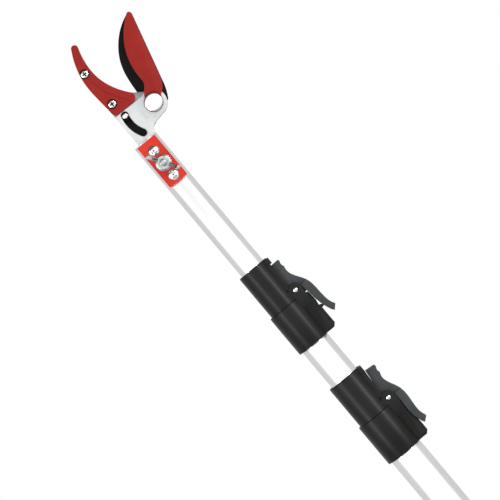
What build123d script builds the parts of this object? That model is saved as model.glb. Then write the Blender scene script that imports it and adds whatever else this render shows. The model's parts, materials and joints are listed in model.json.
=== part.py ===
from build123d import *
import os
from dataclasses import dataclass
from math import cos, radians, sin

os.makedirs("parts", exist_ok=True)

# The pruner stands upright: +Z runs along the pole to the cutting head, -Y is the side with the
# pivot cap and the wing nut, and +X is the side with the two clamp levers. All sizes are in mm.

# Driving dimensions: the three tubes, outermost at the bottom
LOWER_TUBE_R = 12.5
MID_TUBE_R = 11.0
UPPER_TUBE_R = 9.5
TUBE_WALL = 1.2
LOWER_TUBE_BOTTOM = 114.0
MID_TUBE_BOTTOM = 240.0
UPPER_TUBE_BOTTOM = 330.0
SLEEVE_GAP = 0.05
GLIDE_GAP = 0.3

# Heights along the pole
STUD_Z = 1080.0
UPPER_TUBE_TOP = STUD_Z + 18.5
FLANGE_TOP = UPPER_TUBE_TOP + 1.6
CAVITY_FLOOR = STUD_Z + 24.2

# Cutting head, placed from the stud's height
PIVOT_X = 21.5
PIVOT_Z = STUD_Z + 36.6
CRANK_R = 21.9
CRANK_START = 165.3
SLOT_END = 210.6
SLOT_W = 5.3
CRANK_PIN_R = 1.8
PIVOT_R = 3.0
CAP_R = 6.5
BOSS_R = 9.4
HUB_R = 7.5
STUD_TIP_R = 2.0
STUD_SHOULDER = -19.0

# Layers of the head from front to back
CAP_FRONT = -11.0
BOLT_HEAD_FRONT = -9.4
RED_FRONT = -7.3
HOLD_BACK = -5.2
BOSS_FRONT = -5.0
COVER_FRONT = -4.7
COVER_BACK = -3.4
COUNTER_BACK = -1.6
BLADE_FRONT = -1.45
BLADE_BACK = 0.95
LINK_FRONT = 1.2
LINK_BACK = 3.1
FRAME_BACK_FACE = 3.4
FRAME_REAR = 5.0

# Pull rods that nest in one another
ROD_R = 3.0
MID_ROD_R = 5.0
LOWER_ROD_R = 7.0
ROD_GAP = 0.3

# Hand lever at the butt
TRIGGER_X = -25.5
TRIGGER_Z = 84.0
TRIGGER_CRANK = 26.0
TRIGGER_SWING = 31.0
TRIGGER_PIN_R = 3.0
SHELL_R = 16.5
SHELL_TOP = 130.0
SHELL_BOTTOM = 22.0
CHEEK_IN = 6.4
CHEEK_OUT = 10.0
GRIP_R = 16.0
GRIP_BOTTOM = 131.0
GRIP_TOP = 250.0
CAP_SPIGOT_TOP = 27.0
YOKE_R = 8.4
YOKE_BOTTOM = 70.0
YOKE_TOP = 104.0

# Clamp levers
LEVER_SWING = 7.0
CLAMP_PIN_R = 1.5
LEVER_HALF = 5.7
SLOT_HALF = 6.3
CATCH_HALF = 6.0
WALL_IN = 6.2
LEVER_BACK_IN = 9.2
BODY_HALF = 8.0
EAR_HALF = 9.0
HOUSING_OUT = 6.6
EAR_OUT = 4.9
EAR_BOTTOM = 13.8
SLOT_BOTTOM = 6.4
TAB_HEIGHT = 5.6
SHOE_TRAVEL = 0.2

# Screws: shank radii, and their places in X and Z
SHELL_SCREW_R = 1.5
SHELL_SCREW_FRONT = -9.2
SHELL_SCREW_SEAT = -7.2
SHELL_SCREWS = [(12.7, 38.0), (12.7, 96.0), (-12.7, 38.0), (-20.0, 66.0)]
HOOK_SCREW_R = 1.5
HOOK_SCREW_HEAD_R = 3.0
HOOK_SCREW_SINK = 2.0
HOOK_SCREWS = [(-2.6, STUD_Z + 82.2), (-1.2, STUD_Z + 54.2)]
FRAME_SCREW_R = 1.2
FRAME_SCREWS = [(7.3, STUD_Z + 22.7), (12.6, STUD_Z + 27.3), (-2.6, STUD_Z + 48.9)]
SPACER_SCREW_R = 1.5
SPACERS = [(35.5, STUD_Z + 62.0), (42.0, STUD_Z + 82.0)]

# Saw seat, with its two screws, its stud and its wing nut
SEAT_HALF = 7.7
SEAT_FRONT = -12.0
SEAT_BOTTOM = STUD_Z - 16.2
SEAT_TOP = STUD_Z + 19.1
SEAT_SCREW_R = 2.0
SEAT_SCREW_Z = (STUD_Z - 10.6, STUD_Z + 10.6)
SCREW_END = -5.4
STUD_R = 2.5
STUD_END = -25.0
WASHER_FRONT = -13.1
NUT_FRONT = -18.0
NUT_HUB_R = 5.5
WING_THICK = 2.6
WING_TURN = -122.0


def at_head(points):
    """Moves points given from the stud's height to their place in the frame."""
    return [(x, STUD_Z + z) for x, z in points]


def outline(*runs):
    """Closed face in X and Z from runs of (kind, points)."""
    makers = {"line": Polyline, "curve": Spline, "arc": ThreePointArc}
    edges = []
    for kind, points in runs:
        edges += makers[kind](*points).edges()
    return make_face(edges)


def plate(face, y_front, y_back):
    """Plate with its outline in X and Z, between two depths."""
    return extrude(Plane.XZ.offset(-y_back) * face, y_back - y_front)


def rod_z(radius, z_low, z_high, x=0.0):
    """Upright cylinder."""
    middle = (z_low + z_high) / 2
    return Pos(x, 0, middle) * Cylinder(radius, z_high - z_low)


def tube_z(outer, inner, z_low, z_high):
    """Upright tube round the pole's axis."""
    return rod_z(outer, z_low, z_high) - rod_z(inner, z_low - 1, z_high + 1)


def rod_y(radius, x, z, y_front, y_back):
    """Cylinder across the pole."""
    middle = (y_front + y_back) / 2
    return Pos(x, middle, z) * Rot(90, 0, 0) * Cylinder(radius, y_back - y_front)


def block(x_range, y_range, z_range):
    """Box between three pairs of limits."""
    size = [high - low for low, high in (x_range, y_range, z_range)]
    centre = [(high + low) / 2 for low, high in (x_range, y_range, z_range)]
    return Pos(*centre) * Box(*size)


def swing(solid, x, z, degrees):
    """Turns a solid about a cross axis, top towards +X for a positive angle."""
    return Pos(x, 0, z) * Rot(0, degrees, 0) * Pos(-x, 0, -z) * solid


def disc(radius, x, z):
    """Round face in X and Z."""
    return Pos(x, z) * Circle(radius)


def cross_recess(x, z, y_front, depth, half_width):
    """Cross-shaped driver recess, 3.6 mm across."""
    depths = (y_front, y_front + depth)
    upright = block((x - half_width, x + half_width), depths, (z - 1.8, z + 1.8))
    return upright + block((x - 1.8, x + 1.8), depths, (z - half_width, z + half_width))


def save(name, solid):
    """Writes one sub-part."""
    solid.label = name
    export_step(solid, f"parts/{name}.step")


# ---------------------------------------------------------------- butt and hand lever


def end_cap():
    """Rubber cap with a flat foot, a spigot that seats the spring, and a hanging hole."""
    foot = rod_z(14.5, 0, SHELL_BOTTOM)
    foot = fillet(foot.edges().sort_by(Axis.Z)[0], 2.0)
    spigot = rod_z(8.95, SHELL_BOTTOM, CAP_SPIGOT_TOP)
    return foot + spigot - rod_y(4.5, 0, 11, -20, 20)


def shell_outside():
    """Handle shell: a barrel round the pole, and cheeks that reach the lever's hinge."""
    barrel = rod_z(SHELL_R, SHELL_BOTTOM, SHELL_TOP)
    barrel = fillet(barrel.edges().sort_by(Axis.Z)[-1], 2.5)
    cheeks = outline(
        ("line", [(0, 52), (-12, 52), (-33, 77)]),
        ("arc", [(-33, 77), (TRIGGER_X - 10, TRIGGER_Z + 2), (-28, 94)]),
        ("line", [(-28, 94), (-12, 118), (0, 118), (0, 52)]),
    )
    return barrel + plate(cheeks, -CHEEK_OUT, CHEEK_OUT)


def shell_inside():
    """Hollow of the handle shell: spring and yoke bore, tube socket and lever window."""
    hollow = rod_z(9.0, SHELL_BOTTOM - 1, LOWER_TUBE_BOTTOM)
    hollow += rod_z(LOWER_TUBE_R + SLEEVE_GAP, LOWER_TUBE_BOTTOM, SHELL_TOP + 1)
    window = outline(
        ("line", [(0, 66), (-14, 66), (-20, 72), (-60, 60), (-60, 140)]),
        ("line", [(-60, 140), (-17, 140), (-12.6, 112), (0, 112), (0, 66)]),
    )
    hollow += plate(window, -CHEEK_IN, CHEEK_IN)
    hollow += rod_y(TRIGGER_PIN_R + 0.02, TRIGGER_X, TRIGGER_Z, -CHEEK_OUT - 1, CHEEK_OUT + 1)
    for x, z in SHELL_SCREWS:
        hollow += rod_y(SHELL_SCREW_R + SLEEVE_GAP, x, z, SHELL_SCREW_FRONT, 9.0)
        hollow += rod_y(3.0, x, z, -SHELL_R, SHELL_SCREW_SEAT)
    return hollow


def handle_shells():
    """The two moulded halves of the handle shell, front first."""
    whole = shell_outside() - shell_inside()
    front = whole & block((-60, 60), (-40, 0), (0, 200))
    rear = whole & block((-60, 60), (0, 40), (0, 200))
    return front, rear


def handle_screws():
    """Pan-head screws that hold the two shells together."""
    screws = []
    for x, z in SHELL_SCREWS:
        head = rod_y(2.8, x, z, SHELL_SCREW_FRONT, SHELL_SCREW_SEAT)
        head -= cross_recess(x, z, SHELL_SCREW_FRONT - 0.1, 1.1, 0.4)
        screws.append(head + rod_y(SHELL_SCREW_R, x, z, SHELL_SCREW_SEAT, 8.5))
    return Compound(children=screws)


def trigger_pin():
    """Hinge pin of the hand lever, with domed heads."""
    pin = rod_y(TRIGGER_PIN_R, TRIGGER_X, TRIGGER_Z, -CHEEK_OUT, CHEEK_OUT)
    heads = rod_y(4.4, TRIGGER_X, TRIGGER_Z, -CHEEK_OUT - 1.4, -CHEEK_OUT)
    heads += rod_y(4.4, TRIGGER_X, TRIGGER_Z, CHEEK_OUT, CHEEK_OUT + 1.4)
    return pin + heads


def trigger_lever():
    """Long hand lever, drawn squeezed against the pole and then swung out to rest."""
    x, z = TRIGGER_X, TRIGGER_Z
    shape = outline(
        ("arc", [(x + 4.8, z + 7.0), (x + 2, z - 8.2), (x - 8.4, z - 1)]),
        ("curve", [(x - 8.4, z - 1), (x - 7.4, z + 30), (x - 4.8, z + 75), (x - 8.0, z + 130)]),
        ("arc", [(x - 8.0, z + 130), (x - 4.0, z + 134.5), (x + 1.0, z + 131)]),
        ("curve", [(x + 1.0, z + 131), (x + 5.2, z + 75), (x + 5.6, z + 30), (x + 4.8, z + 7.0)]),
    )
    core = plate(shape, -6.0, 6.0)
    paddle = plate(shape, -9.0, 9.0) & block((-60, 0), (-9, 9), (z + 38, z + 140))
    lever = core + paddle
    lever -= plate(disc(8.4, x, z), -2.05, 2.05)
    lever -= block((x - 4.0, 0), (-2.05, 2.05), (z - 9, z + 9))
    lever -= rod_y(TRIGGER_PIN_R + 0.05, x, z, -12, 12)
    return swing(lever, x, z, -TRIGGER_SWING)


def trigger_crank():
    """Steel crank plate keyed into the hand lever; its eye drives the yoke."""
    x, z = TRIGGER_X, TRIGGER_Z
    lift = TRIGGER_SWING / 2
    eye_x = x + TRIGGER_CRANK * cos(radians(lift))
    eye_z = z + TRIGGER_CRANK * sin(radians(lift))
    arm = block((x, x + TRIGGER_CRANK), (-2.0, 2.0), (z - 4.0, z + 4.0))
    arm = swing(arm, x, z, -lift)
    arm += rod_y(8.3, x, z, -2.0, 2.0)
    arm += rod_y(4.4, eye_x, eye_z, -2.0, 2.0)
    arm -= rod_y(TRIGGER_PIN_R + 0.05, x, z, -3, 3)
    return arm - rod_y(2.5, eye_x, eye_z, -3, 3)


def crank_cross_pin():
    """Cross pin in the crank's eye."""
    lift = radians(TRIGGER_SWING / 2)
    eye_x = TRIGGER_X + TRIGGER_CRANK * cos(lift)
    return rod_y(2.5, eye_x, TRIGGER_Z + TRIGGER_CRANK * sin(lift), -6.0, 6.0)


def rod_yoke():
    """Forked end of the lower pull rod; its level slot takes the crank's cross pin."""
    pin_z = TRIGGER_Z + TRIGGER_CRANK * sin(radians(TRIGGER_SWING / 2))
    yoke = rod_z(YOKE_R, YOKE_BOTTOM, YOKE_TOP) - rod_z(LOWER_ROD_R, YOKE_TOP - 5, YOKE_TOP + 1)
    yoke -= block((-10, 5.5), (-2.4, 2.4), (YOKE_BOTTOM + 5, YOKE_TOP - 6))
    return yoke - block((-3.6, 3.6), (-6.3, 6.3), (pin_z - 2.6, pin_z + 2.6))


def return_spring():
    """Compression spring that lifts the rods and opens the blade."""
    z_low, z_high = CAP_SPIGOT_TOP + 0.1, YOKE_BOTTOM - 0.1
    wire, coil_r, turns = 0.7, 6.6, 8
    rise = z_high - z_low - 2 * wire
    path = Helix(rise / turns, rise, coil_r)
    start = path @ 0
    section = Plane(origin=start, z_dir=path % 0) * Circle(wire)
    return Pos(0, 0, z_low + wire) * sweep(section, path)


def grip_sleeve():
    """Rubber sleeve with shallow finger rings."""
    sleeve = rod_z(GRIP_R, GRIP_BOTTOM, GRIP_TOP)
    sleeve = fillet(sleeve.edges().group_by(Axis.Z)[-1], 1.5)
    for ring in range(9):
        z = GRIP_BOTTOM + 12 + ring * 12
        sleeve -= Pos(0, 0, z) * Torus(GRIP_R + 0.6, 1.4)
    return sleeve - rod_z(LOWER_TUBE_R + SLEEVE_GAP, GRIP_BOTTOM - 1, GRIP_TOP + 1)


# ---------------------------------------------------------------- tubes and pull rods


def pole_tube(radius, z_low, z_high):
    """Plain drawn tube."""
    return tube_z(radius, radius - TUBE_WALL, z_low, z_high)


def tube_bush(radius, z_top):
    """Nylon bush on a tube's lower end: a collar and a spigot inside the tube."""
    bore = LOWER_ROD_R + 0.9
    collar = tube_z(radius, bore, z_top - 7, z_top)
    if radius - TUBE_WALL - bore > 1.0:
        collar += tube_z(radius - TUBE_WALL - SLEEVE_GAP, bore, z_top - 7, z_top + 12)
    return collar


def hollow_rod(radius, z_low, z_high):
    """Hollow pull rod that the next thinner rod slides in."""
    bore = {LOWER_ROD_R: MID_ROD_R, MID_ROD_R: ROD_R}[radius] + ROD_GAP
    return tube_z(radius, bore, z_low, z_high)


def rod_clutch(radius, z_top):
    """Small collar on a hollow rod's top that grips the thinner rod in it."""
    bore = {LOWER_ROD_R: MID_ROD_R, MID_ROD_R: ROD_R}[radius] + ROD_GAP
    cap = tube_z(radius + 0.55, bore, z_top, z_top + 2)
    return cap + tube_z(radius + 0.55, radius + SLEEVE_GAP, z_top - 16, z_top)


# ---------------------------------------------------------------- lever clamps


@dataclass
class Clamp:
    """Lever clamp: fixed on one tube, with the next thinner tube gliding through it."""

    top: float
    height: float
    seam_drop: float
    pin_drop: float
    pin_out: float
    fixed_r: float
    glide_r: float
    collar_r: float
    socket_r: float
    tab_out: float
    cheek_top_out: float
    cheek_low_out: float
    open_by: float

    @property
    def bottom(self):
        return self.top - self.height

    @property
    def seam(self):
        return self.top - self.seam_drop

    @property
    def pin_x(self):
        return self.glide_r + self.pin_out

    @property
    def pin_z(self):
        return self.top - self.pin_drop


LOWER_CLAMP = Clamp(
    top=STUD_Z - 193.9,
    height=65.9,
    seam_drop=33.4,
    pin_drop=29.5,
    pin_out=3.75,
    fixed_r=LOWER_TUBE_R,
    glide_r=MID_TUBE_R,
    collar_r=13.2,
    socket_r=14.7,
    tab_out=14.0,
    cheek_top_out=13.9,
    cheek_low_out=12.6,
    open_by=0.0,
)
UPPER_CLAMP = Clamp(
    top=STUD_Z - 95.2,
    height=67.0,
    seam_drop=35.0,
    pin_drop=30.2,
    pin_out=3.75,
    fixed_r=MID_TUBE_R,
    glide_r=UPPER_TUBE_R,
    collar_r=11.8,
    socket_r=13.3,
    tab_out=12.9,
    cheek_top_out=11.3,
    cheek_low_out=11.0,
    open_by=LEVER_SWING,
)


def clamp_collars(clamp):
    """The two round collars, with the shoulder between them."""
    collar = rod_z(clamp.collar_r, clamp.seam, clamp.top)
    collar = fillet(collar.edges().sort_by(Axis.Z)[-1], 0.8)
    socket = rod_z(clamp.socket_r, clamp.bottom, clamp.seam)
    return collar + fillet(socket.edges().group_by(Axis.Z)[-1], 0.7)


def clamp_housing(clamp):
    """Housing beside the socket: a wide foot, and a narrow catch that the lever wraps."""
    px, pz, low = clamp.pin_x, clamp.pin_z, clamp.bottom
    out = px + HOUSING_OUT
    foot = [(0, low), (out - 2.2, low), (out, low + 2.2), (out, pz - 30.8), (0, pz - 30.8), (0, low)]
    catch = outline(
        ("line", [(0, low + 1), (out, low + 2.2), (out, pz - 21.2), (px + 8.4, pz - 20.9)]),
        ("line", [(px + 8.4, pz - 20.9), (px + 8.4, pz - 20.2), (px + 7.4, pz - 19.2)]),
        ("line", [(px + 7.4, pz - 19.2), (px + 5.9, pz - 18.6), (px + 6.6, pz - 14.2)]),
        ("line", [(px + 6.6, pz - 14.2), (px + 5.9, pz - SLOT_BOTTOM), (0, pz - SLOT_BOTTOM)]),
        ("line", [(0, pz - SLOT_BOTTOM), (0, low + 1)]),
    )
    root = block((0, px + 4.0), (-BODY_HALF, BODY_HALF), (low, pz - EAR_BOTTOM))
    foot_plate = plate(outline(("line", foot)), -BODY_HALF, BODY_HALF)
    return root + foot_plate + plate(catch, -CATCH_HALF, CATCH_HALF)


def clamp_ears(clamp):
    """Two ears that carry the lever's pin, and the low cheeks that guard its thumb arm."""
    px, pz = clamp.pin_x, clamp.pin_z
    ear = outline(
        ("line", [(0, pz - EAR_BOTTOM), (px + 4.2, pz - EAR_BOTTOM), (px + 4.5, pz - 8.0)]),
        ("line", [(px + 4.5, pz - 8.0), (px + EAR_OUT, pz)]),
        ("arc", [(px + EAR_OUT, pz), (px, pz + EAR_OUT), (px - 4.6, pz + 1.6)]),
        ("line", [(px - 4.6, pz + 1.6), (0, pz + 1.6), (0, pz - EAR_BOTTOM)]),
    )
    tab_bottom = clamp.top - TAB_HEIGHT
    low_out, top_out = clamp.cheek_low_out, clamp.cheek_top_out
    cheek = outline(
        ("line", [(6, pz + 1), (low_out, pz + 1), (low_out, pz + 5), (top_out, tab_bottom)]),
        ("line", [(top_out, tab_bottom), (6, tab_bottom), (6, pz + 1)]),
    )
    return plate(ear, -EAR_HALF, EAR_HALF) + plate(cheek, -BODY_HALF, BODY_HALF)


def clamp_body(clamp):
    """Moulded body: two collars, a housing with its catch, ears, cheeks and a top tab."""
    px, pz = clamp.pin_x, clamp.pin_z
    tab_bottom = clamp.top - TAB_HEIGHT
    body = clamp_collars(clamp) + clamp_housing(clamp) + clamp_ears(clamp)
    body += block((0, clamp.tab_out), (-7.5, 7.5), (tab_bottom, clamp.top - 0.8))
    body -= rod_z(clamp.fixed_r + SLEEVE_GAP, clamp.bottom - 1, clamp.seam - 2)
    body -= rod_z(clamp.glide_r + GLIDE_GAP, clamp.seam - 3, clamp.top + 1)
    body -= block((clamp.glide_r + 0.2, px + 20), (-SLOT_HALF, SLOT_HALF), (pz - SLOT_BOTTOM, tab_bottom))
    body -= block((clamp.glide_r - 2.6, px + 20), (-5.9, 5.9), (pz - 6.5, pz + 6.5))
    return body - rod_y(CLAMP_PIN_R + 0.02, px, pz, -EAR_HALF - 1, EAR_HALF + 1)


def clamp_pin(clamp):
    """Riveted pin through the ears, with round heads."""
    pin = rod_y(CLAMP_PIN_R, clamp.pin_x, clamp.pin_z, -EAR_HALF, EAR_HALF)
    for y in (-EAR_HALF - 0.8, EAR_HALF):
        pin += rod_y(1.9, clamp.pin_x, clamp.pin_z, y, y + 0.8)
    return pin


def clamp_lever(clamp):
    """Rocker lever: thumb arm on top, cam at the pin, and a channel-shaped release arm below."""
    shape = outline(
        ("line", [(-0.3, 23.7), (6.4, 23.0)]),
        ("arc", [(6.4, 23.0), (7.2, 22.4), (7.1, 21.4)]),
        ("arc", [(7.1, 21.4), (6.3, 19.0), (6.8, 16.8)]),
        ("arc", [(6.8, 16.8), (5.9, 14.4), (5.8, 12.0)]),
        ("curve", [(5.8, 12.0), (7.1, 7.2), (9.6, 2.0), (10.7, -1.0), (11.1, -10.0), (12.1, -26.5)]),
        ("line", [(12.1, -26.5), (8.5, -29.4), (7.2, -27.2), (5.5, -20.4), (5.0, -12.8), (5.3, -6.0)]),
        ("line", [(5.3, -6.0), (2.6, -6.0), (-1.4, -3.0), (-2.8, -1.5), (-2.5, 0.6)]),
        ("line", [(-2.5, 0.6), (-2.2, 4.0), (-1.9, 9.5), (-0.7, 20.5), (-0.3, 23.7)]),
    )
    core = plate(shape, -LEVER_HALF, LEVER_HALF) & block((-20, 20), (-9, 9), (-6.0, 30))
    channel = plate(shape, -BODY_HALF, BODY_HALF) & block((5.1, 20), (-9, 9), (-31, -0.5))
    channel -= block((0, LEVER_BACK_IN), (-WALL_IN, WALL_IN), (-32, 1))
    lever = core + channel - rod_y(CLAMP_PIN_R + 0.05, 0, 0, -9, 9)
    return Pos(clamp.pin_x, 0, clamp.pin_z) * Rot(0, -clamp.open_by, 0) * lever


def brake_shoe(clamp):
    """Curved shoe that the lever's cam presses against the gliding tube."""
    x_out = clamp.glide_r + 0.6
    shoe = block((clamp.glide_r - 2.4, x_out), (-5.5, 5.5), (clamp.pin_z - 5.6, clamp.pin_z + 6.0))
    shoe -= rod_z(clamp.glide_r + 0.25, clamp.pin_z - 9, clamp.pin_z + 9)
    return Pos(SHOE_TRAVEL if clamp.open_by else 0.0, 0, 0) * shoe


# ---------------------------------------------------------------- cutting head


def crank_point(degrees, radius=CRANK_R):
    """Point on a circle round the blade's pivot."""
    return (PIVOT_X + radius * cos(radians(degrees)), PIVOT_Z + radius * sin(radians(degrees)))


def arc_slot(width):
    """Curved slot round the pivot that the crank pin runs in."""
    outer, inner = CRANK_R + width / 2, CRANK_R - width / 2
    middle = (CRANK_START + SLOT_END) / 2
    low, high = CRANK_START - 1.5, SLOT_END
    band = outline(
        ("arc", [crank_point(low, outer), crank_point(middle, outer), crank_point(high, outer)]),
        ("line", [crank_point(high, outer), crank_point(high, inner)]),
        ("arc", [crank_point(high, inner), crank_point(middle, inner), crank_point(low, inner)]),
        ("line", [crank_point(low, inner), crank_point(low, outer)]),
    )
    return band + disc(width / 2, *crank_point(low)) + disc(width / 2, *crank_point(high))


def body_face():
    """Outline that the head's cover, counter blade and frame share."""
    body = outline(
        ("line", at_head([(-5.7, 20.1), (-5.7, 45.8), (19.0, 45.2), (21.5, 42.0), (28.0, 31.0)])),
        ("curve", at_head([(28.0, 31.0), (21.0, 27.0), (11.6, 24.6), (9.3, 20.1)])),
        ("line", at_head([(9.3, 20.1), (-5.7, 20.1)])),
    )
    return body + disc(BOSS_R, PIVOT_X, PIVOT_Z)


def hook_face(inset=0.0):
    """Outline of the hook: a slim curved horn on a square foot."""
    inner = [(14.6, 51.2), (7.5, 61.5), (3.2, 73.5), (3.2, 89.5), (5.95, 99.8)]
    outer = [(1.0, 100.6), (-3.8, 90.3), (-6.8, 77.0), (-6.6, 62.0), (-5.75, 49.3)]
    inner = at_head([(x - inset, z - inset) for x, z in inner])
    outer = at_head([(x + inset, z - inset) for x, z in outer])
    low_left, low_right = at_head([(-2.5, 46.0), (12.0 - inset, 46.2)])
    tip, corner_left = at_head([(3.6, 102.5 - inset), (-4.75 + inset, 47.1)])
    corner_right = (13.9 - inset, STUD_Z + 47.4)
    return outline(
        ("curve", inner),
        ("arc", [inner[-1], tip, outer[0]]),
        ("curve", outer),
        ("arc", [outer[-1], corner_left, low_left]),
        ("line", [low_left, low_right]),
        ("arc", [low_right, corner_right, inner[0]]),
    )


def hook_plate():
    """Red hold plate on the hook, with counterbored screws and a pressed groove."""
    solid = plate(hook_face(), RED_FRONT, COVER_BACK)
    for x, z in HOOK_SCREWS:
        solid -= rod_y(HOOK_SCREW_HEAD_R + 0.5, x, z, RED_FRONT - 1, RED_FRONT + HOOK_SCREW_SINK)
        solid -= rod_y(HOOK_SCREW_R + 0.1, x, z, RED_FRONT, COVER_BACK + 1)
    line = at_head([(-2.8, 79.0), (-1.6, 71.0), (1.3, 62.0), (5.5, 54.6), (9.8, 48.0)])
    groove = Spline(*[(x, RED_FRONT, z) for x, z in line])
    section = Plane(origin=groove @ 0, z_dir=groove % 0) * Circle(0.35)
    return solid - sweep(section, groove)


def hook_screws():
    """Cross-recess screws of the hook's hold plate."""
    screws = []
    for x, z in HOOK_SCREWS:
        head = rod_y(HOOK_SCREW_HEAD_R, x, z, RED_FRONT + 0.3, RED_FRONT + HOOK_SCREW_SINK)
        head = fillet(head.edges().group_by(Axis.Y)[0], 0.8)
        head -= cross_recess(x, z, RED_FRONT, 1.4, 0.45)
        screws.append(head + rod_y(HOOK_SCREW_R, x, z, RED_FRONT + HOOK_SCREW_SINK - 0.1, COUNTER_BACK))
    return Compound(children=screws)


def counter_blade():
    """Steel hook blade: a horn behind the red plate, an anvil edge, and a foot in the head."""
    anvil = at_head([(6.0, 46.0), (14.3, 51.6), (21.3, 46.8), (26.0, 42.0), (18.0, 38.0), (6.0, 46.0)])
    foot = at_head([(-5.7, 44), (-5.7, 48.5), (12, 48.5), (12, 44), (-5.7, 44)])
    solid = plate(hook_face(0.3), COVER_BACK, COUNTER_BACK)
    for face in (body_face(), outline(("line", anvil)), outline(("line", foot))):
        solid += plate(face, COVER_BACK, COUNTER_BACK)
    solid -= plate(arc_slot(SLOT_W), COVER_BACK - 1, 0)
    for x, z in HOOK_SCREWS:
        solid -= rod_y(HOOK_SCREW_R, x, z, COVER_BACK - 1, 0)
    for x, z in FRAME_SCREWS:
        solid -= rod_y(FRAME_SCREW_R, x, z, COVER_BACK - 1, 0)
    return solid - rod_y(PIVOT_R + 0.02, PIVOT_X, PIVOT_Z, COVER_BACK - 1, 0)


def head_cover():
    """Cast front cover of the head, with the bevelled arc slot and the pivot boss."""
    cover = plate(body_face(), COVER_FRONT, COVER_BACK)
    cover += plate(disc(BOSS_R, PIVOT_X, PIVOT_Z), BOSS_FRONT, COVER_BACK)
    cover -= plate(arc_slot(SLOT_W), BOSS_FRONT - 1, 0)
    rim = extrude(Plane.XZ.offset(-COVER_FRONT - 0.5) * arc_slot(SLOT_W), 0.6, taper=-45)
    cover -= rim
    for x, z in FRAME_SCREWS[:2]:
        cover -= rod_y(FRAME_SCREW_R, x, z, COVER_FRONT + 0.5, 0)
    return cover - rod_y(PIVOT_R + 0.02, PIVOT_X, PIVOT_Z, BOSS_FRONT - 1, 0)


def head_frame():
    """Cast frame: rear plate, left wall, foot block, and a shank that fills the tube's end."""
    rear = plate(body_face(), FRAME_BACK_FACE, FRAME_REAR)
    tab = at_head([(-5.7, 44.0), (-5.7, 51.2), (0.8, 51.2), (3.0, 47.0), (3.0, 44.0), (-5.7, 44.0)])
    rear += plate(outline(("line", tab)), FRAME_BACK_FACE, FRAME_REAR)
    wall = block((-5.7, -4.5), (COUNTER_BACK, FRAME_BACK_FACE), (UPPER_TUBE_TOP, STUD_Z + 46.9))
    foot = block((-5.7, 9.3), (COUNTER_BACK, FRAME_BACK_FACE), (UPPER_TUBE_TOP, CAVITY_FLOOR))
    ear = block((-5.7, 0.8), (COUNTER_BACK, FRAME_BACK_FACE), (STUD_Z + 46.6, STUD_Z + 51.2))
    frame = rear + wall + foot + ear
    frame += rod_y(1.9, *FRAME_SCREWS[1], COUNTER_BACK, FRAME_BACK_FACE)
    frame += rod_z(UPPER_TUBE_R, UPPER_TUBE_TOP, FLANGE_TOP)
    frame += rod_z(UPPER_TUBE_R - TUBE_WALL - SLEEVE_GAP, STUD_Z - 20, UPPER_TUBE_TOP + 0.1)
    frame -= rod_z(5.0, STUD_Z - 21, UPPER_TUBE_TOP + 12)
    frame -= block((-4.3, 5.1), (0.8, FRAME_BACK_FACE), (STUD_Z + 5.0, STUD_Z + 27))
    frame -= block((-4.3, 5.1), (COUNTER_BACK, 0.9), (FLANGE_TOP, CAVITY_FLOOR + 1))
    for x, z in FRAME_SCREWS:
        frame -= rod_y(FRAME_SCREW_R, x, z, COUNTER_BACK - 1, FRAME_REAR + 1)
    for z in SEAT_SCREW_Z:
        frame -= rod_y(SEAT_SCREW_R, 0, z, -9, -4)
    frame -= rod_y(STUD_R, 0, STUD_Z, -9, -4)
    return frame - rod_y(PIVOT_R + 0.02, PIVOT_X, PIVOT_Z, 0, FRAME_REAR + 1)


def head_screws():
    """Three screws from the back that close the head."""
    screws = []
    for (x, z), front in zip(FRAME_SCREWS, (COVER_FRONT + 0.5, COVER_FRONT + 0.5, COVER_BACK)):
        head = rod_y(2.2, x, z, FRAME_REAR, FRAME_REAR + 1.4)
        head = fillet(head.edges().group_by(Axis.Y)[-1], 0.6)
        screws.append(head + rod_y(FRAME_SCREW_R, x, z, front, FRAME_REAR))
    return Compound(children=screws)


def rod_guide():
    """Nylon ring that guides the upper rod in the shank."""
    return tube_z(5.0, ROD_R + ROD_GAP, STUD_Z - 20, STUD_Z - 14)


def rod_link():
    """Black link from the upper rod to the crank pin, with a level slot for the pin."""
    hub = rod_z(4.6, STUD_Z + 2, STUD_Z + 14) - rod_z(ROD_R, STUD_Z + 1, STUD_Z + 12)
    link = block((-3.8, 4.6), (LINK_FRONT, LINK_BACK), (STUD_Z + 20, STUD_Z + 46.2))
    link += block((-3.4, 3.4), (LINK_FRONT, LINK_BACK), (STUD_Z + 12, STUD_Z + 21))
    pin_z = crank_point(CRANK_START)[1]
    link -= block((-2.5, 3.3), (0, 4), (pin_z - CRANK_PIN_R - 0.15, pin_z + CRANK_PIN_R + 0.15))
    return hub + link


def blade_face():
    """Curved cutting blade with its heel, hub and crank tail."""
    x_pin, z_pin = crank_point(CRANK_START)
    main = outline(
        ("curve", at_head([(17.0, 46.0), (17.9, 57.0), (20.6, 70.2), (29.0, 84.0), (46.4, 95.9)])),
        ("arc", at_head([(46.4, 95.9), (48.9, 95.6), (49.5, 93.5)])),
        ("curve", at_head([(49.5, 93.5), (43.9, 73.0), (36.3, 45.2)])),
        ("curve", at_head([(36.3, 45.2), (34.6, 39.6), (30.9, 32.4)])),
        ("line", at_head([(30.9, 32.4), (22.0, 30.0), (17.0, 34.0), (17.0, 46.0)])),
    )
    tail = [
        crank_point(CRANK_START, CRANK_R),
        crank_point(CRANK_START - 8.6, CRANK_R - 1.2),
        crank_point(CRANK_START - 48, 8.0),
        crank_point(CRANK_START + 48, 4.0),
        crank_point(CRANK_START + 7.5, CRANK_R - 1.2),
        crank_point(CRANK_START, CRANK_R),
    ]
    return main + disc(HUB_R, PIVOT_X, PIVOT_Z) + outline(("line", tail)) + disc(3.2, x_pin, z_pin)


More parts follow.
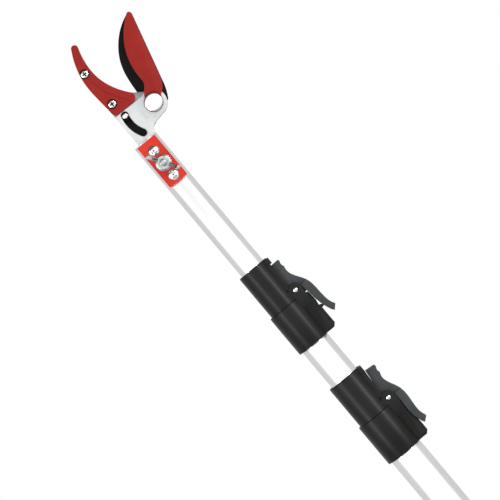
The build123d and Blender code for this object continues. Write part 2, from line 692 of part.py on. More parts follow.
def cutting_blade():
    """Moving blade, black coated, with a ground edge on its back."""
    solid = plate(blade_face(), BLADE_FRONT, BLADE_BACK)
    solid -= rod_y(CRANK_PIN_R, *crank_point(CRANK_START), -3, 3)
    for x, z in SPACERS:
        solid -= rod_y(SPACER_SCREW_R, x, z, -3, 3)
    return solid - rod_y(PIVOT_R + 0.05, PIVOT_X, PIVOT_Z, -3, 3)


def crank_pin():
    """Pin through the blade's tail that shows in the arc slot."""
    return rod_y(CRANK_PIN_R, *crank_point(CRANK_START), -4.9, LINK_BACK)


def hold_plate():
    """Red hold plate that turns with the blade and pinches the stem against the hook plate."""
    face = outline(
        ("curve", at_head([(46.6, 95.7), (36.4, 86.7), (28.6, 74.2), (25.3, 60.0), (25.2, 52.9)])),
        ("curve", at_head([(25.2, 52.9), (23.1, 48.6), (19.4, 44.1), (18.6, 39.0)])),
        ("line", at_head([(18.6, 39.0), (21.5, 33.0), (27.8, 35.6), (28.9, 37.6), (31.6, 39.3)])),
        ("curve", at_head([(31.6, 39.3), (34.6, 43.0), (36.0, 46.0)])),
        ("curve", at_head([(36.0, 46.0), (43.6, 73.2), (49.3, 93.7)])),
        ("arc", at_head([(49.3, 93.7), (48.6, 95.6), (46.6, 95.7)])),
    )
    solid = plate(face + disc(5.7, PIVOT_X, PIVOT_Z), RED_FRONT, HOLD_BACK)
    for x, z in SPACERS:
        solid -= rod_y(SPACER_SCREW_R, x, z, HOLD_BACK - 1.5, HOLD_BACK + 1)
    return solid - rod_y(PIVOT_R + 0.05, PIVOT_X, PIVOT_Z, RED_FRONT - 1, HOLD_BACK + 1)


def plate_spacers():
    """Sleeves that keep the hold plate clear of the hook's blade."""
    sleeves = []
    for x, z in SPACERS:
        sleeve = rod_y(2.8, x, z, HOLD_BACK, BLADE_FRONT)
        sleeves.append(sleeve - rod_y(SPACER_SCREW_R, x, z, HOLD_BACK - 1, 0))
    return Compound(children=sleeves)


def plate_screws():
    """Screws from the blade's back into the hold plate."""
    screws = []
    for x, z in SPACERS:
        head = rod_y(2.7, x, z, BLADE_BACK, BLADE_BACK + 1.6)
        head = fillet(head.edges().group_by(Axis.Y)[-1], 0.7)
        screws.append(head + rod_y(SPACER_SCREW_R, x, z, HOLD_BACK - 1.4, BLADE_BACK))
    return Compound(children=screws)


def pivot_bolt():
    """Shouldered bolt that the blade turns on."""
    head = rod_y(4.6, PIVOT_X, PIVOT_Z, BOLT_HEAD_FRONT, RED_FRONT - 0.1)
    return head + rod_y(PIVOT_R, PIVOT_X, PIVOT_Z, RED_FRONT - 0.2, FRAME_REAR + 5.4)


def pivot_cap():
    """Domed cap pressed over the pivot bolt's head."""
    depth = RED_FRONT - 0.1 - CAP_FRONT
    cap = rod_y(CAP_R, PIVOT_X, PIVOT_Z, CAP_FRONT, RED_FRONT - 0.1)
    cap = fillet(cap.edges().group_by(Axis.Y)[0], depth - 0.9)
    return cap - rod_y(4.6, PIVOT_X, PIVOT_Z, BOLT_HEAD_FRONT, 0)


def pivot_nut():
    """Hexagon lock nut on the pivot bolt's rear end."""
    hexagon = Pos(PIVOT_X, PIVOT_Z) * RegularPolygon(5.0, 6, major_radius=False)
    nut = plate(hexagon, FRAME_REAR + 1.0, FRAME_REAR + 5.0)
    return nut - rod_y(PIVOT_R, PIVOT_X, PIVOT_Z, 0, 20)


def pivot_washer():
    """Washer under the pivot nut."""
    washer = rod_y(6.2, PIVOT_X, PIVOT_Z, FRAME_REAR, FRAME_REAR + 1.0)
    return washer - rod_y(PIVOT_R + 0.1, PIVOT_X, PIVOT_Z, 0, 20)


def saw_seat():
    """Red seat for a saw blade, saddled on the tube's front."""
    seat = block((-SEAT_HALF, SEAT_HALF), (SEAT_FRONT, -5.5), (SEAT_BOTTOM, SEAT_TOP))
    seat = fillet(seat.edges().filter_by(Axis.Y), 1.0)
    seat -= rod_z(UPPER_TUBE_R + 0.02, STUD_Z - 30, STUD_Z + 30)
    seat -= rod_y(STUD_R, 0, STUD_Z, -20, 0)
    for z in SEAT_SCREW_Z:
        seat -= rod_y(SEAT_SCREW_R, 0, z, -20, 0)
    return seat


def seat_screws():
    """Two dome-head screws of the saw seat."""
    screws = []
    for z in SEAT_SCREW_Z:
        head = rod_y(4.0, 0, z, SEAT_FRONT - 2.6, SEAT_FRONT)
        head = fillet(head.edges().group_by(Axis.Y)[0], 2.0)
        head -= plate(Pos(0, z) * RegularPolygon(1.25, 6), SEAT_FRONT - 3, SEAT_FRONT - 1.6)
        screws.append(head + rod_y(SEAT_SCREW_R, 0, z, SEAT_FRONT - 0.1, SCREW_END))
    return Compound(children=screws)


def saw_stud():
    """M5 stud that a saw blade is clamped on, with a thinner pilot tip."""
    tip = rod_y(STUD_TIP_R, 0, STUD_Z, STUD_END, STUD_SHOULDER)
    tip = chamfer(tip.edges().group_by(Axis.Y)[0], 0.4)
    return rod_y(STUD_R, 0, STUD_Z, STUD_SHOULDER, SCREW_END) + tip


def wing_washer():
    """Washer under the wing nut."""
    return rod_y(5.8, 0, STUD_Z, WASHER_FRONT, SEAT_FRONT) - rod_y(STUD_R + 0.1, 0, STUD_Z, -20, 0)


def wing_nut():
    """Wing nut: a round hub with two upswept wings."""
    hub = rod_y(NUT_HUB_R, 0, 0, NUT_FRONT, WASHER_FRONT)
    hub = fillet(hub.edges().group_by(Axis.Y)[0], 1.2)
    side = outline(
        ("line", [(3.6, -16.0), (8.0, -17.2), (11.8, -21.0), (12.3, -23.6)]),
        ("line", [(12.3, -23.6), (10.0, -24.0), (6.2, -21.4), (3.6, -17.4), (3.6, -16.0)]),
    )
    wing = Pos(0, 0, -WING_THICK / 2) * extrude(side, WING_THICK)
    nut = hub + wing + Rot(0, 180, 0) * wing - rod_y(STUD_R + 0.05, 0, 0, -30, 0)
    return Pos(0, 0, STUD_Z) * Rot(0, WING_TURN, 0) * nut


def upper_tube():
    """Top tube, drilled for the seat's screws and stud."""
    tube = pole_tube(UPPER_TUBE_R, UPPER_TUBE_BOTTOM, UPPER_TUBE_TOP)
    tube -= rod_y(STUD_R, 0, STUD_Z, -20, 0)
    for z in SEAT_SCREW_Z:
        tube -= rod_y(SEAT_SCREW_R, 0, z, -20, 0)
    return tube


SHELLS = handle_shells()
NODES = {
    "end_cap": end_cap(),
    "handle_shell_front": SHELLS[0],
    "handle_shell_rear": SHELLS[1],
    "handle_screws": handle_screws(),
    "trigger_pin": trigger_pin(),
    "return_spring": return_spring(),
    "grip_sleeve": grip_sleeve(),
    "trigger_lever": trigger_lever(),
    "trigger_crank": trigger_crank(),
    "crank_cross_pin": crank_cross_pin(),
    "rod_yoke": rod_yoke(),
    "lower_tube": pole_tube(LOWER_TUBE_R, LOWER_TUBE_BOTTOM, LOWER_CLAMP.seam - 2),
    "mid_tube": pole_tube(MID_TUBE_R, MID_TUBE_BOTTOM, UPPER_CLAMP.seam - 2),
    "upper_tube": upper_tube(),
    "mid_tube_bush": tube_bush(MID_TUBE_R, MID_TUBE_BOTTOM),
    "upper_tube_bush": tube_bush(UPPER_TUBE_R, UPPER_TUBE_BOTTOM),
    "lower_rod": hollow_rod(LOWER_ROD_R, YOKE_TOP - 5, 840),
    "mid_rod": hollow_rod(MID_ROD_R, 262, 936),
    "upper_rod": rod_z(ROD_R, 330, STUD_Z + 12),
    "lower_rod_clutch": rod_clutch(LOWER_ROD_R, 840),
    "mid_rod_clutch": rod_clutch(MID_ROD_R, 936),
    "lower_clamp_body": clamp_body(LOWER_CLAMP),
    "lower_clamp_pin": clamp_pin(LOWER_CLAMP),
    "lower_clamp_lever": clamp_lever(LOWER_CLAMP),
    "lower_brake_shoe": brake_shoe(LOWER_CLAMP),
    "upper_clamp_body": clamp_body(UPPER_CLAMP),
    "upper_clamp_pin": clamp_pin(UPPER_CLAMP),
    "upper_clamp_lever": clamp_lever(UPPER_CLAMP),
    "upper_brake_shoe": brake_shoe(UPPER_CLAMP),
    "head_frame": head_frame(),
    "head_cover": head_cover(),
    "head_screws": head_screws(),
    "counter_blade": counter_blade(),
    "hook_plate": hook_plate(),
    "hook_screws": hook_screws(),
    "rod_guide": rod_guide(),
    "rod_link": rod_link(),
    "cutting_blade": cutting_blade(),
    "crank_pin": crank_pin(),
    "hold_plate": hold_plate(),
    "plate_spacers": plate_spacers(),
    "plate_screws": plate_screws(),
    "pivot_bolt": pivot_bolt(),
    "pivot_cap": pivot_cap(),
    "pivot_nut": pivot_nut(),
    "pivot_washer": pivot_washer(),
    "saw_seat": saw_seat(),
    "seat_screws": seat_screws(),
    "saw_stud": saw_stud(),
    "wing_washer": wing_washer(),
    "wing_nut": wing_nut(),
}
for node_name, node_solid in NODES.items():
    save(node_name, node_solid)
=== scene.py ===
"""Telescoping long-reach pruner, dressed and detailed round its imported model.

The pole stands on its butt at the origin, +Z runs up to the cutting head, -Y is the side with the
pivot cap and the wing nut, and +X is the side with the clamp levers. Lengths are in metres; a size
field that ends in _mm is in millimetres.
"""

import json
import logging
import math
from dataclasses import dataclass
from enum import Enum
from typing import Callable, Sequence

import bpy
from mathutils import Matrix, Vector


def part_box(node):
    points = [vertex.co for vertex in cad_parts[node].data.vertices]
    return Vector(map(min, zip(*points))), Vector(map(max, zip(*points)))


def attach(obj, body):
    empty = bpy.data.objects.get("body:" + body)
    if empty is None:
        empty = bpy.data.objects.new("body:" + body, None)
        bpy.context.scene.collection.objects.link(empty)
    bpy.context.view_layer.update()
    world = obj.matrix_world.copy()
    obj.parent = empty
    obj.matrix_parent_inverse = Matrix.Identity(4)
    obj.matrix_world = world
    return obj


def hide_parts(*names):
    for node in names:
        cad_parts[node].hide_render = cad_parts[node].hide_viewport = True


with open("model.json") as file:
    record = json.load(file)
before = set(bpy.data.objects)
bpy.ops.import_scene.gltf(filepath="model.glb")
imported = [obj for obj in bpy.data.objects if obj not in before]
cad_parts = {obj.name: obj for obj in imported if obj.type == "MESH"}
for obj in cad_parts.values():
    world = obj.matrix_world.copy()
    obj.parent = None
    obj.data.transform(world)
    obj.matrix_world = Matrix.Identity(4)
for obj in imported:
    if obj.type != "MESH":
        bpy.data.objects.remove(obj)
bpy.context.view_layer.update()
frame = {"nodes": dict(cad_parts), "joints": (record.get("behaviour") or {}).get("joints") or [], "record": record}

LOG = logging.getLogger("pruner")
MM = 0.001
FRONT = Vector((0.0, -1.0, 0.0))


class Slot(Enum):
    """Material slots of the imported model."""

    TUBE = "tube_aluminium"
    CASTING = "cast_aluminium"
    CLAMP = "clamp_nylon"
    LEVER = "lever_nylon"
    RED = "red_nylon"
    SEAT = "seat_enamel"
    BLADE = "blade_coating"
    COUNTER = "counter_steel"
    ZINC = "bright_zinc"
    NICKEL = "polished_nickel"
    ROD = "rod_steel"
    ROD_TUBE = "rod_aluminium"
    # black oxide of the link and the crank; the same slot also paints shade into screw recesses, counterbores and
    # round the pivot cap
    OXIDE = "black_oxide"
    NATURAL = "natural_nylon"
    RUBBER = "grip_rubber"
    HANDLE = "handle_nylon"


# ------------------------------------------------------------------------------------ finishes


def srgb(code: str) -> tuple[float, float, float, float]:
    """Turns an sRGB hex code into linear colour.

    Args:
        code: Six hex digits, such as "b5302d".

    Returns:
        Linear red, green, blue and alpha.
    """
    values = [int(code[i : i + 2], 16) / 255 for i in (0, 2, 4)]
    linear = [v / 12.92 if v <= 0.04045 else ((v + 0.055) / 1.055) ** 2.4 for v in values]
    return (*linear, 1.0)


def add_node(
    tree: bpy.types.NodeTree, kind: str, inputs: dict | None = None, links: dict | None = None, **settings
) -> bpy.types.Node:
    """Adds a shader node.

    Args:
        tree: Node tree that gets the node.
        kind: Blender's type name of the node.
        inputs: Values by input name or index.
        links: Output sockets by input name or index.
        **settings: Attributes of the node.

    Returns:
        The new node.
    """
    made = tree.nodes.new(kind)
    for name, value in settings.items():
        setattr(made, name, value)
    for key, value in (inputs or {}).items():
        made.inputs[key].default_value = value
    for key, socket in (links or {}).items():
        tree.links.new(socket, made.inputs[key])
    return made


@dataclass(frozen=True)
class Finish:
    """A surface finish: two shades that drift into each other, and a fine grain with relief.

    Attributes:
        name: Name of the material.
        slot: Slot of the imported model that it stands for.
        shades: Darker and lighter colour, as sRGB hex codes.
        drift_mm: Size of the patches in which the shades change.
        grain_mm: Size of the grain across the surface.
        stretch: How much longer the grain is along X, Y and Z.
        relief_mm: Height of the grain.
        roughness: Roughness in the smoothest and the dullest patches.
        metallic: 1 for bare metal, 0 for plastic and paint.
        coat: Weight of a clear coat.
        specular: Specular level of the surface.
        scuff: How much hairline scuffs lift the roughness.
    """

    name: str
    slot: Slot
    shades: tuple[str, str]
    drift_mm: float
    grain_mm: float
    stretch: tuple[float, float, float] = (1.0, 1.0, 1.0)
    relief_mm: float = 0.01
    roughness: tuple[float, float] = (0.3, 0.4)
    metallic: float = 0.0
    coat: float = 0.0
    specular: float = 0.5
    scuff: float = 0.0

    def build(self) -> bpy.types.Material:
        """Makes the material.

        Returns:
            A node material.
        """
        material = bpy.data.materials.new(self.name)
        material.use_nodes = True
        tree = material.node_tree
        tree.nodes.clear()
        place = add_node(tree, "ShaderNodeTexCoord").outputs["Object"]
        drift = add_node(
            tree, "ShaderNodeTexNoise",
            {"Scale": 1 / (self.drift_mm * MM), "Detail": 3.0}, {"Vector": place},
        )
        spread = add_node(
            tree, "ShaderNodeMapRange",
            {"From Min": 0.32, "From Max": 0.68}, {"Value": drift.outputs["Fac"]},
        ).outputs["Result"]
        colour = self.blend_shades(tree, spread)
        squeeze = add_node(
            tree, "ShaderNodeMapping", {"Scale": [1 / s for s in self.stretch]}, {"Vector": place}
        ).outputs["Vector"]
        grain = add_node(
            tree, "ShaderNodeTexNoise",
            {"Scale": 1 / (self.grain_mm * MM), "Detail": 4.0, "Roughness": 0.6}, {"Vector": squeeze},
        ).outputs["Fac"]
        bump = add_node(
            tree, "ShaderNodeBump", {"Strength": 1.0, "Distance": self.relief_mm * MM}, {"Height": grain}
        ).outputs["Normal"]
        dull = add_node(
            tree, "ShaderNodeMapRange",
            {"From Min": 0.3, "From Max": 0.7, "To Min": self.roughness[0], "To Max": self.roughness[1]},
            {"Value": grain},
        ).outputs["Result"]
        if self.scuff:
            dull = self.scuffed(tree, place, dull)
        shader = add_node(
            tree, "ShaderNodeBsdfPrincipled",
            {
                "Metallic": self.metallic,
                "Coat Weight": self.coat,
                "Coat Roughness": 0.08,
                "Specular IOR Level": self.specular,
            },
            {"Base Color": colour, "Roughness": dull, "Normal": bump},
        )
        add_node(tree, "ShaderNodeOutputMaterial", links={"Surface": shader.outputs["BSDF"]})
        return material

    def blend_shades(self, tree: bpy.types.NodeTree, factor: bpy.types.NodeSocket) -> bpy.types.NodeSocket:
        """Mixes the two shades.

        Args:
            tree: Node tree of the material.
            factor: Socket that drives the mix.

        Returns:
            The colour socket.
        """
        ramp = add_node(tree, "ShaderNodeValToRGB", links={"Fac": factor})
        for stop, shade in zip(ramp.color_ramp.elements, self.shades):
            stop.color = srgb(shade)
        return ramp.outputs["Color"]

    def scuffed(
        self, tree: bpy.types.NodeTree, place: bpy.types.NodeSocket, dull: bpy.types.NodeSocket
    ) -> bpy.types.NodeSocket:
        """Adds hairline scuffs to the roughness.

        Args:
            tree: Node tree of the material.
            place: Coordinates of the surface.
            dull: Roughness without the scuffs.

        Returns:
            Roughness with the scuffs.
        """
        slant = add_node(
            tree, "ShaderNodeMapping",
            {"Rotation": (0.5, 0.9, 0.3), "Scale": (1.0, 1.0, 0.03)}, {"Vector": place},
        ).outputs["Vector"]
        lines = add_node(
            tree, "ShaderNodeTexNoise", {"Scale": 900.0, "Detail": 2.0}, {"Vector": slant}
        ).outputs["Fac"]
        marks = add_node(
            tree, "ShaderNodeMapRange",
            {"From Min": 0.6, "From Max": 0.75, "To Max": self.scuff}, {"Value": lines},
        ).outputs["Result"]
        return add_node(tree, "ShaderNodeMath", links={0: dull, 1: marks}, operation="ADD").outputs["Value"]


FINISHES: tuple[Finish, ...] = (
    # Clear anodised drawn tube: a pale satin skin with faint lines along the tube
    Finish("anodised_drawn_aluminium", Slot.TUBE, ("f1f2f2", "f6f7f7"), 60, 0.35, (1, 1, 60), 0.002,
           (0.2, 0.27), 1.0, scuff=0.04),
    # Bead-blasted pressure casting: pale silver with a sandy skin
    Finish("blasted_cast_aluminium", Slot.CASTING, ("dce0e0", "e6e9e8"), 9, 0.28, relief_mm=0.008,
           roughness=(0.38, 0.48), metallic=0.5),
    # Glass-filled nylon, spark-textured mould: near-black with a soft broad shine
    Finish("black_glass_filled_nylon", Slot.CLAMP, ("100f0e", "171514"), 14, 0.22, relief_mm=0.01,
           roughness=(0.3, 0.38), specular=0.26, scuff=0.06),
    # Moulded nylon in slate grey: smoother than the clamp's body
    Finish("slate_moulded_nylon", Slot.LEVER, ("3f4244", "484b4e"), 10, 0.2, relief_mm=0.008,
           roughness=(0.38, 0.5), specular=0.25, scuff=0.1),
    # Red moulded nylon: even pigment, matt, with faint flow marks along the moulding
    Finish("red_moulded_nylon", Slot.RED, ("a02722", "ab2b26"), 11, 0.25, (1, 1, 3), 0.006, (0.42, 0.52),
           specular=0.18),
    # Powder-coated casting in signal red: orange-peel skin with a mild gloss
    Finish("red_powder_coat", Slot.SEAT, ("ea362b", "f24233"), 8, 0.9, relief_mm=0.02,
           roughness=(0.3, 0.38), coat=0.1, specular=0.2),
    # Fluoropolymer-coated tool steel: black and silky
    Finish("black_fluoropolymer_coating", Slot.BLADE, ("0c0b0b", "12110f"), 12, 0.3, relief_mm=0.006,
           roughness=(0.42, 0.54), specular=0.12, scuff=0.12),
    # Ground tool steel: grey, with grinding lines across the hook
    Finish("ground_tool_steel", Slot.COUNTER, ("7c7e80", "94969a"), 7, 0.12, (18, 1, 1), 0.004,
           (0.3, 0.42), 1.0, scuff=0.1),
    # Bright zinc plate: cold silver with a slight blue cast
    Finish("bright_zinc_plate", Slot.ZINC, ("a9adac", "cdd1cf"), 2, 0.5, relief_mm=0.03,
           roughness=(0.1, 0.22), metallic=1.0),
    # Polished nickel: mirror-bright, warmer than zinc
    Finish("polished_nickel_plate", Slot.NICKEL, ("eeedea", "f7f6f4"), 6, 0.3, relief_mm=0.001,
           roughness=(0.08, 0.14), metallic=1.0),
    # Drawn spring and rod steel: grey with lines along the bar
    Finish("drawn_bright_steel", Slot.ROD, ("8f9294", "a9acae"), 20, 0.2, (1, 1, 40), 0.003,
           (0.28, 0.36), 1.0),
    # Mill-finish aluminium tube: duller than the anodised pole
    Finish("mill_finish_aluminium", Slot.ROD_TUBE, ("b9babb", "c9caca"), 30, 0.3, (1, 1, 50), 0.004,
           (0.34, 0.44), 1.0),
    # Black-oxide steel: dry, oily black; also used as painted shade in the screw recesses, on the counterbore
    # floors and round the pivot cap's foot
    Finish("black_oxide_steel_and_painted_shade", Slot.OXIDE, ("181615", "211f1e"), 5, 0.2, relief_mm=0.004,
           roughness=(0.45, 0.6), specular=0.2),
    # Unpigmented nylon: milky cream
    Finish("natural_nylon", Slot.NATURAL, ("d9d3c2", "e6e1d3"), 12, 0.3, relief_mm=0.005,
           roughness=(0.38, 0.48)),
    # Vulcanised rubber: dead matt black with a powdery bloom
    Finish("matt_black_rubber", Slot.RUBBER, ("1e1d1d", "2b2a29"), 16, 0.35, relief_mm=0.02,
           roughness=(0.62, 0.78), specular=0.3),
    # Glass-filled nylon of the handle: as the clamps, a shade cooler
    Finish("black_handle_nylon", Slot.HANDLE, ("1f2021", "292a2b"), 18, 0.24, relief_mm=0.014,
           roughness=(0.4, 0.54), specular=0.22, scuff=0.08),
)


@dataclass
class Paints:
    """The finishes as materials, each made once."""

    made: dict[Slot, bpy.types.Material]

    @classmethod
    def mix(cls) -> "Paints":
        """Makes every finish's material.

        Returns:
            The paints, ready to use.
        """
        return cls({finish.slot: finish.build() for finish in FINISHES})

    def coat(self, piece: bpy.types.Object, slot: Slot) -> bpy.types.Object:
        """Gives a piece one finish all over.

        Args:
            piece: Mesh object.
            slot: Slot of the finish.

        Returns:
            The same piece.
        """
        piece.data.materials.clear()
        piece.data.materials.append(self.made[slot])
        return piece

    def coat_frame(self) -> None:
        """Gives every carried-over CAD node the finish of its slot."""
        for part in frame["record"]["subparts"]:
            self.coat(frame["nodes"][part["node"]], Slot(part["material_slot"]))


# ------------------------------------------------------------------------------------ the bench


def clear_bench() -> None:
    """Deselects everything, in object mode."""
    if bpy.context.mode != "OBJECT":
        bpy.ops.object.mode_set(mode="OBJECT")
    bpy.ops.object.select_all(action="DESELECT")


def hold(piece: bpy.types.Object) -> None:
    """Makes a piece the only selected and the active object.

    Args:
        piece: Object to work on.
    """
    clear_bench()
    piece.select_set(True)
    bpy.context.view_layer.objects.active = piece


def begin(name: str, add: Callable, **settings) -> bpy.types.Object:
    """Starts a piece from a primitive.

    Args:
        name: Name of the piece.
        add: Operator that adds the primitive.
        **settings: Arguments of the operator.

    Returns:
        The new object, with its place in its mesh.
    """
    clear_bench()
    add(**settings)
    piece = bpy.context.active_object
    piece.name = piece.data.name = name
    bpy.ops.object.transform_apply(location=True, rotation=True, scale=True)
    return piece


def edit(piece: bpy.types.Object) -> None:
    """Opens a piece in edit mode with nothing selected.

    Args:
        piece: Mesh object.
    """
    hold(piece)
    bpy.ops.object.mode_set(mode="EDIT")
    bpy.ops.mesh.select_all(action="DESELECT")


def extrude(shift: Vector | Sequence[float], scale: Sequence[float] = (1.0, 1.0, 1.0)) -> None:
    """Extrudes the selected faces, moves them and scales them about their middle.

    Args:
        shift: How far they move, in metres.
        scale: Scale along X, Y and Z afterwards.
    """
    bpy.ops.mesh.extrude_region_move(TRANSFORM_OT_translate={"value": tuple(shift)})
    if tuple(scale) != (1.0, 1.0, 1.0):
        bpy.ops.transform.resize(value=tuple(scale))


def apply_modifier(piece: bpy.types.Object, kind: str, **settings) -> None:
    """Adds a modifier and applies it.

    Args:
        piece: Mesh object.
        kind: Blender's type name of the modifier.
        **settings: Attributes of the modifier.
    """
    hold(piece)
    modifier = piece.modifiers.new(kind.lower(), kind)
    for name, value in settings.items():
        setattr(modifier, name, value)
    bpy.ops.object.modifier_apply(modifier=modifier.name)


def soften(piece: bpy.types.Object, edge_mm: float, rounds: int = 2, angle: float = 32.0) -> None:
    """Rounds the sharp edges of a piece.

    Args:
        piece: Mesh object.
        edge_mm: Width of the rounding.
        rounds: Segments across it.
        angle: Edges sharper than this many degrees are rounded.
    """
    apply_modifier(
        piece, "BEVEL", width=edge_mm * MM, segments=rounds, limit_method="ANGLE",
        angle_limit=math.radians(angle), miter_outer="MITER_ARC", use_clamp_overlap=True,
    )


def smooth(piece: bpy.types.Object, angle: float = 35.0) -> None:
    """Shades a piece smooth across shallow edges and points its faces outwards.

    Args:
        piece: Mesh object.
        angle: Edges sharper than this many degrees stay sharp.
    """
    edit(piece)
    bpy.ops.mesh.select_all(action="SELECT")
    bpy.ops.mesh.normals_make_consistent(inside=False)
    bpy.ops.object.mode_set(mode="OBJECT")
    bpy.ops.object.shade_smooth_by_angle(angle=math.radians(angle))


def turn_to(piece: bpy.types.Object, facing: Vector, place: Vector, roll: float = 0.0) -> None:
    """Turns a piece that was made along +Z to its direction, and moves it to its place.

    Args:
        piece: Mesh object made round the Z axis at the origin.
        facing: Direction that its +Z takes.
        place: Where its origin goes.
        roll: Turn about its own axis first, in degrees.
    """
    spin = Matrix.Rotation(math.radians(roll), 4, "Z")
    facing_turn = facing.to_track_quat("Z", "Y").to_matrix().to_4x4()
    piece.matrix_world = Matrix.Translation(place) @ facing_turn @ spin
    hold(piece)
    bpy.ops.object.transform_apply(location=True, rotation=True, scale=True)


def turned(name: str, profile: Sequence[tuple[float, float]], sides: int = 48) -> bpy.types.Object:
    """Makes a round piece about the Z axis by extruding a disc step by step.

    Args:
        name: Name of the piece.
        profile: Radius and height of each step, in millimetres, from the bottom up.
        sides: Sides of the disc.

    Returns:
        The closed round piece.
    """
    radius, height = profile[0]
    piece = begin(
        name, bpy.ops.mesh.primitive_circle_add, vertices=sides, radius=radius * MM,
        fill_type="NGON", location=(0, 0, height * MM),
    )
    edit(piece)
    bpy.ops.mesh.select_all(action="SELECT")
    for next_radius, next_height in profile[1:]:
        grow = next_radius / radius
        extrude((0, 0, (next_height - height) * MM), (grow, grow, 1.0))
        radius, height = next_radius, next_height
    bpy.ops.object.mode_set(mode="OBJECT")
    return piece


def dome_profile(radius: float, rise: float, low: float, steps: int = 6) -> list[tuple[float, float]]:
    """Profile of a domed top.

    Args:
        radius: Radius at the dome's foot, in millimetres.
        rise: Height of the dome, in millimetres.
        low: Height of its foot, in millimetres.
        steps: Steps up the dome.

    Returns:
        Radius and height of each step, with a small flat at the top.
    """
    angles = [math.radians(86 * step / steps) for step in range(steps + 1)]
    return [(radius * math.cos(a), low + rise * math.sin(a)) for a in angles]


def cut(piece: bpy.types.Object, tool: bpy.types.Object) -> None:
    """Cuts a tool's shape out of a piece and throws the tool away.

    Args:
        piece: Mesh object that is cut.
        tool: Closed mesh object that is taken away.
    """
    apply_modifier(piece, "BOOLEAN", object=tool, operation="DIFFERENCE", solver="EXACT")
    bpy.data.objects.remove(tool)


def traced(node: str, name: str, edge_mm: float, rounds: int = 2) -> bpy.types.Object:
    """Copies a CAD node, merges it into clean faces and rounds its edges.

    Args:
        node: Name of the CAD node.
        name: Name of the new piece.
        edge_mm: Width of the rounding, or 0 for none.
        rounds: Segments across the rounding.

    Returns:
        The new piece, which isn't joined to a body yet.
    """
    hold(frame["nodes"][node])
    bpy.ops.object.duplicate()
    piece = bpy.context.active_object
    piece.name = piece.data.name = name
    for key in list(piece.keys()):
        del piece[key]
    piece.parent = None
    piece.matrix_world = Matrix.Identity(4)
    bpy.ops.mesh.customdata_custom_splitnormals_clear()
    edit(piece)
    bpy.ops.mesh.select_all(action="SELECT")
    bpy.ops.mesh.remove_doubles(threshold=2e-6)
    bpy.ops.mesh.dissolve_limited(angle_limit=math.radians(0.5))
    bpy.ops.object.mode_set(mode="OBJECT")
    if edge_mm:
        soften(piece, edge_mm, rounds)
    smooth(piece)
    return piece


def joint_place(name: str) -> Vector:
    """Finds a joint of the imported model.

    Args:
        name: Name of the joint.

    Returns:
        Its position in metres.
    """
    return Vector(next(joint["pos_m"] for joint in frame["joints"] if joint["name"] == name))


def body_with(node: str) -> str:
    """Finds the body that a CAD node belongs to.

    Args:
        node: Name of the CAD node.

    Returns:
        Name of the body.
    """
    groups = frame["record"]["behaviour"]["bodies"]
    return next(body for body, nodes in groups.items() if node in nodes)


@dataclass
class Assembly:
    """Base of the sub-assemblies: it dresses pieces and joins them to their bodies."""

    paints: Paints

    def fit(self, piece: bpy.types.Object, slot: Slot, *nodes: str) -> bpy.types.Object:
        """Gives a piece its finish, its body and the CAD nodes that it stands for.

        Args:
            piece: Finished mesh object.
            slot: Slot of its finish.
            *nodes: CAD nodes that it replaces; the first one's body carries it.

        Returns:
            The same piece.
        """
        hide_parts(*nodes)
        return self.add(piece, slot, nodes[0])

    def add(self, piece: bpy.types.Object, slot: Slot, node: str) -> bpy.types.Object:
        """Gives a piece its finish and the body of a CAD node, and keeps the node.

        Args:
            piece: Finished mesh object.
            slot: Slot of its finish.
            node: CAD node whose body carries it.

        Returns:
            The same piece.
        """
        self.paints.coat(piece, slot)
        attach(piece, body_with(node))
        LOG.info("%s made, %d faces", piece.name, len(piece.data.polygons))
        return piece

    def trace(self, node: str, name: str, slot: Slot, edge_mm: float, rounds: int = 2) -> bpy.types.Object:
        """Makes a softened copy of a CAD node and fits it in the node's place.

        Args:
            node: Name of the CAD node.
            name: Name of the new piece.
            slot: Slot of its finish.
            edge_mm: Width of its rounded edges.
            rounds: Segments across the rounding.

        Returns:
            The fitted piece.
        """
        return self.fit(traced(node, name, edge_mm, rounds), slot, node)

    def recess(self, name: str, place: Vector, arm_mm: float, deep_mm: float) -> bpy.types.Object:
        """Makes the cross of a screw's recess: the tool that cuts it, or a thin dark cross of painted shade laid
        on its floor.

        Args:
            name: Name of the piece.
            place: Middle of the cross.
            arm_mm: Length of its bars.
            deep_mm: Depth of the cross.

        Returns:
            The cross, made of two bars.
        """
        sizes = ((arm_mm, arm_mm * 0.3), (arm_mm * 0.3, arm_mm))
        bars = [
            begin(name, bpy.ops.mesh.primitive_cube_add, size=1.0, location=place,
                  scale=(wide * MM, deep_mm * MM, high * MM))
            for wide, high in sizes
        ]
        apply_modifier(bars[0], "BOOLEAN", object=bars[1], operation="UNION", solver="EXACT")
        bpy.data.objects.remove(bars[1])
        bars[0].name = bars[0].data.name = name
        return bars[0]

    def cross_screw(
        self, name: str, profile: Sequence[tuple[float, float]], place: Vector, arm_mm: float
    ) -> bpy.types.Object:
        """Makes a screw that faces the front, with a cross in its head.

        Args:
            name: Name of the piece.
            profile: Radius and height of each step, in millimetres, from its tip.
            place: Position of its tip.
            arm_mm: Length of the cross's bars.

        Returns:
            The screw.
        """
        screw = turned(name, profile, 48)
        turn_to(screw, FRONT, place)
        face = place + FRONT * profile[-1][1] * MM
        cut(screw, self.recess(f"{name}_cross", face, arm_mm, 1.7))
        smooth(screw)
        return screw


# ------------------------------------------------------------------------------------ the pole


